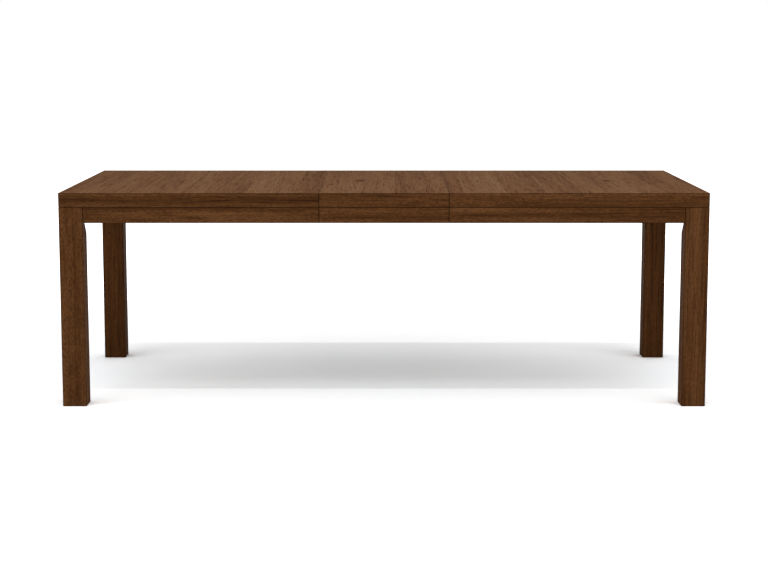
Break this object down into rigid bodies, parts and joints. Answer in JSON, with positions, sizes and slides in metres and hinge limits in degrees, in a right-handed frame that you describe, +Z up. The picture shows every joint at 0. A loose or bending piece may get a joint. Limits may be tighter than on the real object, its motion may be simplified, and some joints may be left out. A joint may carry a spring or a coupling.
{
  "type": "extension dining table",
  "caption": "Walnut parsons dining table with square legs flush with a thick top, extended on geared wooden slides with a lift-out leaf and turning leaf locks.",
  "frame": {"origin": "on the floor, under the middle of the table top", "axes": "+X along the table's length, towards its right end; front of the table towards -Y; +Z up"},
  "size_m": [2.286, 1.0668, 0.762],
  "materials": {
    "walnut_veneer": "satin, grain from front to back",
    "walnut_edge": "satin, grain along the edge",
    "walnut_apron": "satin, grain along the apron",
    "walnut_leg": "satin, grain upright",
    "core_board": "plain sanded plywood",
    "slide_maple": "waxed",
    "block_poplar": "plain sawn",
    "pin_beech": "smooth turned",
    "gear_nylon": "moulded",
    "zinc_steel": "zinc plated"
  },
  "bodies": {
    "slide_core": {"back_centre_rail": "slide_maple", "cross_ties": "slide_maple", "front_centre_rail": "slide_maple", "pinion_axles": "zinc_steel", "tie_screws": "zinc_steel"},
    "left_half": {"left_alignment_pins": "pin_beech", "left_apron_blocks": "block_poplar", "left_back_apron": "walnut_apron", "left_back_edge_rail": "walnut_edge", "left_back_leg": "walnut_leg", "left_back_slide_rail": "slide_maple", "left_core_panel": "core_board", "left_corner_blocks": "block_poplar", "left_end_apron": "walnut_apron", "left_end_edge_rail": "walnut_edge", "left_flange_nuts": "zinc_steel", "left_front_apron": "walnut_apron", "left_front_edge_rail": "walnut_edge", "left_front_leg": "walnut_leg", "left_front_slide_rail": "slide_maple", "left_hanger_bolts": "zinc_steel", "left_lock_plates": "zinc_steel", "left_slide_racks": "gear_nylon", "left_top_screws": "zinc_steel", "left_top_veneer": "walnut_veneer"},
    "right_half": {"right_alignment_pins": "pin_beech", "right_apron_blocks": "block_poplar", "right_back_apron": "walnut_apron", "right_back_edge_rail": "walnut_edge", "right_back_leg": "walnut_leg", "right_back_slide_rail": "slide_maple", "right_core_panel": "core_board", "right_corner_blocks": "block_poplar", "right_end_apron": "walnut_apron", "right_end_edge_rail": "walnut_edge", "right_flange_nuts": "zinc_steel", "right_front_apron": "walnut_apron", "right_front_edge_rail": "walnut_edge", "right_front_leg": "walnut_leg", "right_front_slide_rail": "slide_maple", "right_hanger_bolts": "zinc_steel", "right_lock_strikes": "zinc_steel", "right_slide_racks": "gear_nylon", "right_top_screws": "zinc_steel", "right_top_veneer": "walnut_veneer"},
    "leaf": {"leaf_apron_blocks": "block_poplar", "leaf_back_apron": "walnut_apron", "leaf_back_edge_rail": "walnut_edge", "leaf_core_panel": "core_board", "leaf_front_apron": "walnut_apron", "leaf_front_edge_rail": "walnut_edge", "leaf_lock_plates": "zinc_steel", "leaf_lock_strikes": "zinc_steel", "leaf_top_veneer": "walnut_veneer"},
    "front_pinion": {"front_pinion": "gear_nylon"},
    "back_pinion": {"back_pinion": "gear_nylon"},
    "left_front_lock": {"left_front_lock_lever": "zinc_steel"},
    "left_back_lock": {"left_back_lock_lever": "zinc_steel"},
    "leaf_front_lock": {"leaf_front_lock_lever": "zinc_steel"},
    "leaf_back_lock": {"leaf_back_lock_lever": "zinc_steel"}
  },
  "joints": [
    {"name": "left_slide", "type": "slide", "parent": "slide_core", "child": "left_half", "axis": [-1, 0, 0], "range_m": [0, 0.06]},
    {"name": "right_slide", "type": "slide", "parent": "slide_core", "child": "right_half", "axis": [1, 0, 0], "range_m": [0, 0.06]},
    {"name": "leaf_lift", "type": "slide", "parent": "slide_core", "child": "leaf", "axis": [0, 0, 1], "range_m": [0, 0.15]},
    {"name": "front_pinion_spin", "type": "hinge", "parent": "slide_core", "child": "front_pinion", "pos_m": [0, -0.3, 0.7036], "axis": [0, 0, 1], "range_deg": [-215, 0]},
    {"name": "back_pinion_spin", "type": "hinge", "parent": "slide_core", "child": "back_pinion", "pos_m": [0, 0.3, 0.7036], "axis": [0, 0, 1], "range_deg": [-215, 0]},
    {"name": "left_front_lock_turn", "type": "hinge", "parent": "left_half", "child": "left_front_lock", "pos_m": [-0.2506, -0.4, 0.7324], "axis": [0, 0, 1], "range_deg": [-90, 0]},
    {"name": "left_back_lock_turn", "type": "hinge", "parent": "left_half", "child": "left_back_lock", "pos_m": [-0.2506, 0.4, 0.7324], "axis": [0, 0, 1], "range_deg": [-90, 0]},
    {"name": "leaf_front_lock_turn", "type": "hinge", "parent": "leaf", "child": "leaf_front_lock", "pos_m": [0.2066, -0.4, 0.7324], "axis": [0, 0, 1], "range_deg": [-90, 0]},
    {"name": "leaf_back_lock_turn", "type": "hinge", "parent": "leaf", "child": "leaf_back_lock", "pos_m": [0.2066, 0.4, 0.7324], "axis": [0, 0, 1], "range_deg": [-90, 0]}
  ],
  "couplings": [
    {"joint": "right_slide", "follows": "left_slide", "ratio": 1},
    {"joint": "front_pinion_spin", "follows": "left_slide", "rad_per_m": -62.5},
    {"joint": "back_pinion_spin", "follows": "left_slide", "rad_per_m": -62.5}
  ]
}
